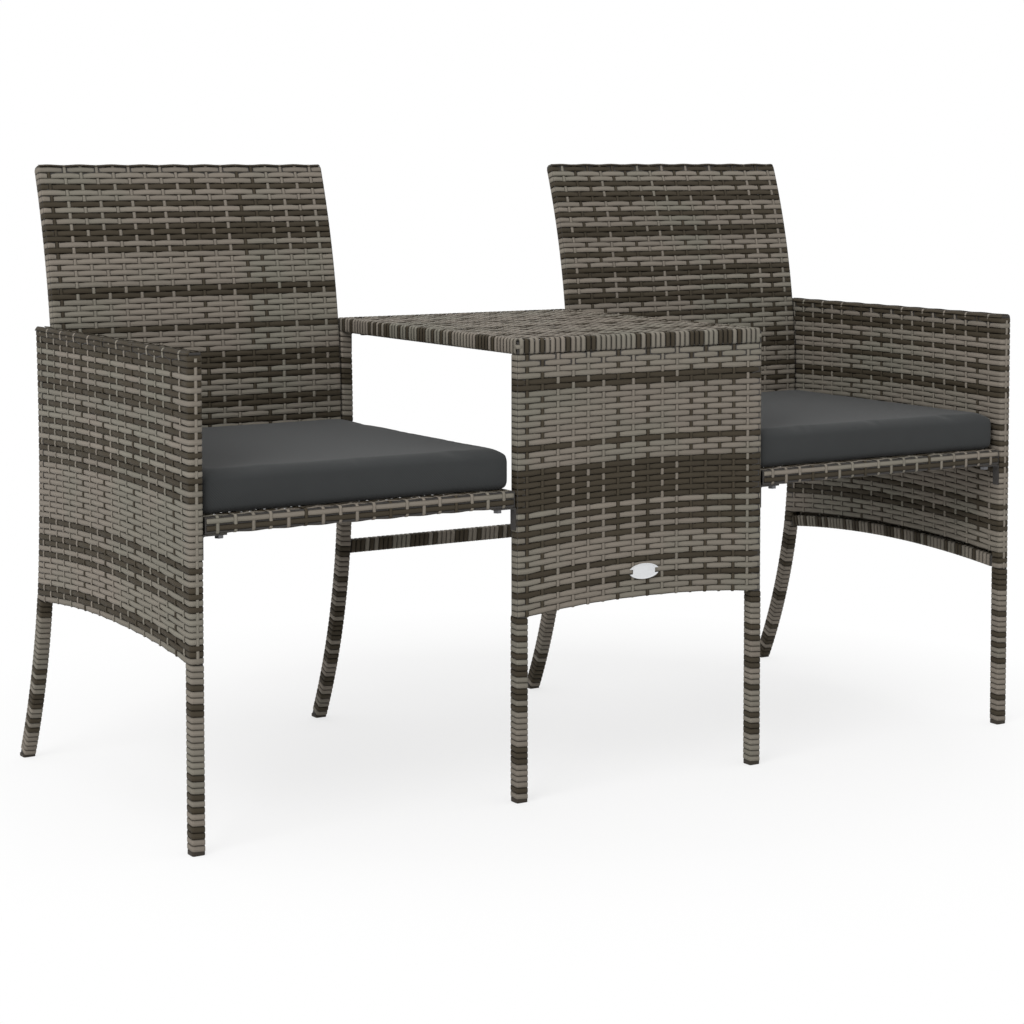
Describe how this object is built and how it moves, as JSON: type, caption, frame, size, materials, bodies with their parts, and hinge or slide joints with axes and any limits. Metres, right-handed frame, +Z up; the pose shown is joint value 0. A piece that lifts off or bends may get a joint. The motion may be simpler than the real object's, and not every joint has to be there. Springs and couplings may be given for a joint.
{
  "type": "garden bench with middle table",
  "caption": "Woven resin garden bench: side by side seats with loose cushions and curved backs, joined by a table between them, on bent steel tube legs.",
  "frame": {"origin": "floor level under the middle of the bench", "axes": "+X to the right along the bench as seen from the front, +Y from the front to the back, +Z up"},
  "size_m": [1.33, 0.5958, 0.84],
  "materials": {
    "tube": "powder coated",
    "strand": "woven flat strands in mixed grey and brown",
    "cap": "moulded",
    "bolt": "zinc plated",
    "cover": "woven polyester",
    "foam": "open cell foam"
  },
  "bodies": {
    "bench": {"back_frame_bindings": "strand", "corner_brackets": "tube", "front_foot_caps": "cap", "front_leg_bindings": "strand", "left_arm_arch_rail": "tube", "left_arm_front_leg": "tube", "left_arm_rear_leg": "tube", "left_arm_top_rail": "tube", "left_arm_weave": "strand", "left_back_bottom_bar": "tube", "left_back_inner_stile": "tube", "left_back_outer_stile": "tube", "left_back_top_bar": "tube", "left_back_weave": "strand", "left_seat_brace": "tube", "left_seat_front_rail": "tube", "left_seat_inner_rail": "tube", "left_seat_outer_rail": "tube", "left_seat_rear_rail": "tube", "left_seat_weave": "strand", "long_bolts": "bolt", "rail_bindings": "strand", "rear_foot_caps": "cap", "rear_leg_bindings": "strand", "right_arm_arch_rail": "tube", "right_arm_front_leg": "tube", "right_arm_rear_leg": "tube", "right_arm_top_rail": "tube", "right_arm_weave": "strand", "right_back_bottom_bar": "tube", "right_back_inner_stile": "tube", "right_back_outer_stile": "tube", "right_back_top_bar": "tube", "right_back_weave": "strand", "right_seat_brace": "tube", "right_seat_front_rail": "tube", "right_seat_inner_rail": "tube", "right_seat_outer_rail": "tube", "right_seat_rear_rail": "tube", "right_seat_weave": "strand", "short_bolts": "bolt", "table_arch_rail": "tube", "table_edge_binding": "strand", "table_front_weave": "strand", "table_left_front_leg": "tube", "table_left_rear_leg": "tube", "table_panel_rail": "tube", "table_right_front_leg": "tube", "table_right_rear_leg": "tube", "table_stretcher": "tube", "table_top_brace": "tube", "table_top_front_rail": "tube", "table_top_left_rail": "tube", "table_top_rear_rail": "tube", "table_top_right_rail": "tube", "table_top_weave": "strand"},
    "left_cushion": {"left_cushion_cover": "cover", "left_cushion_foam": "foam"},
    "right_cushion": {"right_cushion_cover": "cover", "right_cushion_foam": "foam"}
  },
  "joints": [
    {"name": "left_cushion_lift", "type": "slide", "parent": "bench", "child": "left_cushion", "axis": [0, 0, 1], "range_m": [0, 0.25]},
    {"name": "right_cushion_lift", "type": "slide", "parent": "bench", "child": "right_cushion", "axis": [0, 0, 1], "range_m": [0, 0.25]}
  ]
}
